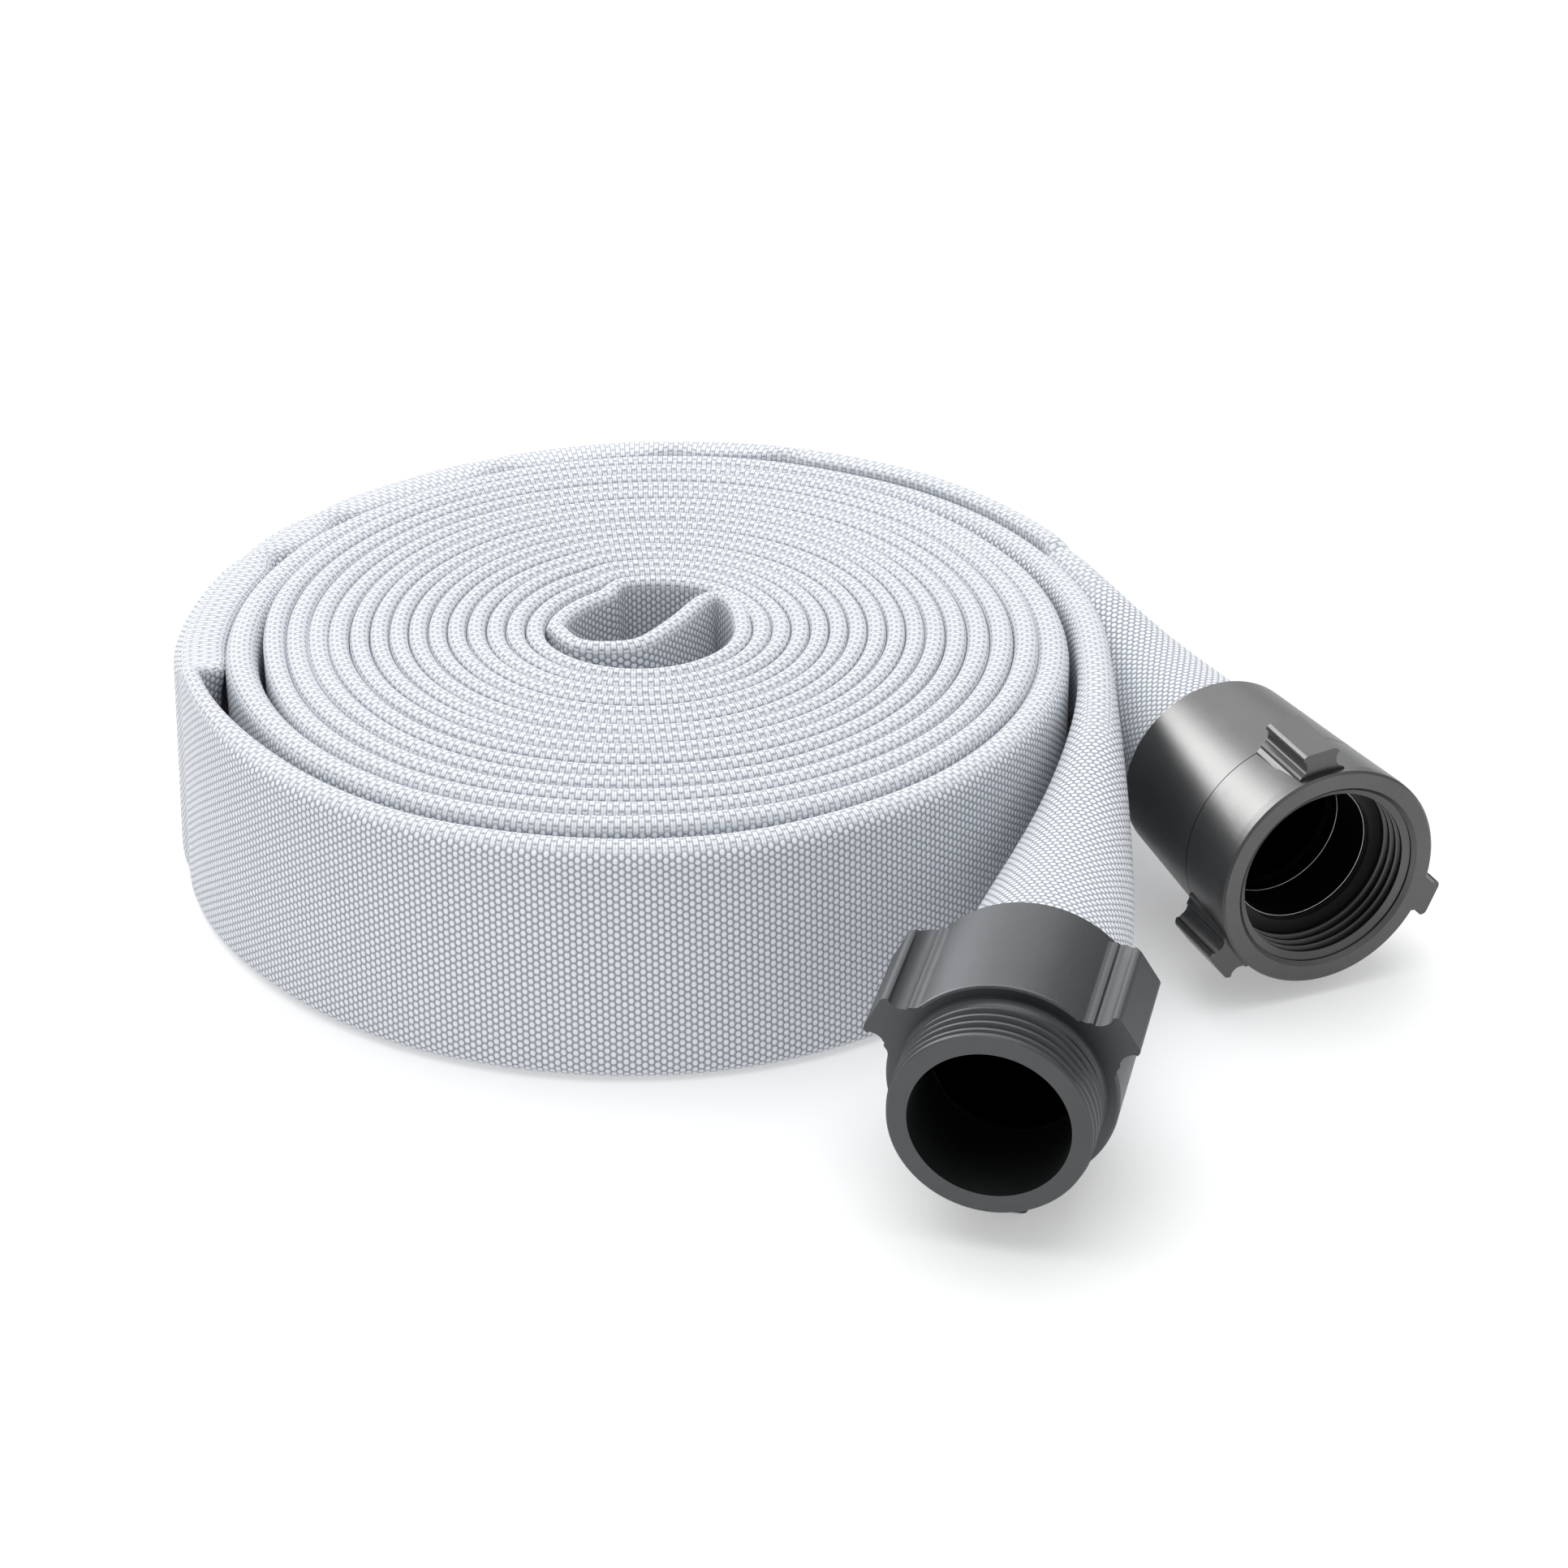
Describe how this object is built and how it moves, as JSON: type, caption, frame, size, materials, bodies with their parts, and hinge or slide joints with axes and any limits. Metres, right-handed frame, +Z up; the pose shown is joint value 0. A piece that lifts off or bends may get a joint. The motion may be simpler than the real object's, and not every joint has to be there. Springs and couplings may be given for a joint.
{
  "type": "rolled fire hose",
  "caption": "Lay-flat woven fire hose in a double roll, with a threaded male coupling on one end and a swivel female coupling on the other.",
  "frame": {"origin": "centre of the part's footprint, on the surface that the roll lies on", "axes": "+Z up out of that surface; +X to the right as both couplings face -Y"},
  "size_m": [0.4344, 0.4289, 0.0947],
  "materials": {
    "jacket": "white woven polyester, matt",
    "coupling": "grey hard-anodised, satin, fine turned lines",
    "rubber": "black, matt",
    "brass": "dull",
    "steel": "bright"
  },
  "bodies": {
    "coil": {"hose_roll": "jacket", "male_tail": "jacket", "male_jacket_end": "jacket", "male_liner_end": "rubber", "male_gasket": "rubber", "male_expansion_ring": "brass", "male_body": "coupling"},
    "female_end": {"female_tail": "jacket", "female_jacket_end": "jacket", "female_liner_end": "rubber", "female_gasket": "rubber", "female_expansion_ring": "brass", "female_bowl": "coupling", "race_balls": "steel"},
    "swivel": {"swivel_ring": "coupling", "race_plug": "steel", "swivel_gasket": "rubber"}
  },
  "joints": [
    {"name": "female_end_swing", "type": "hinge", "parent": "coil", "child": "female_end", "pos_m": [0.07689, 0.15676, 0.0428], "axis": [0, 0, 1], "range_deg": [0, 40]},
    {"name": "swivel_spin", "type": "hinge", "parent": "female_end", "child": "swivel", "pos_m": [0.1664, -0.03712, 0.0465], "axis": [0.3811, -0.9245, 0], "continuous": true}
  ]
}
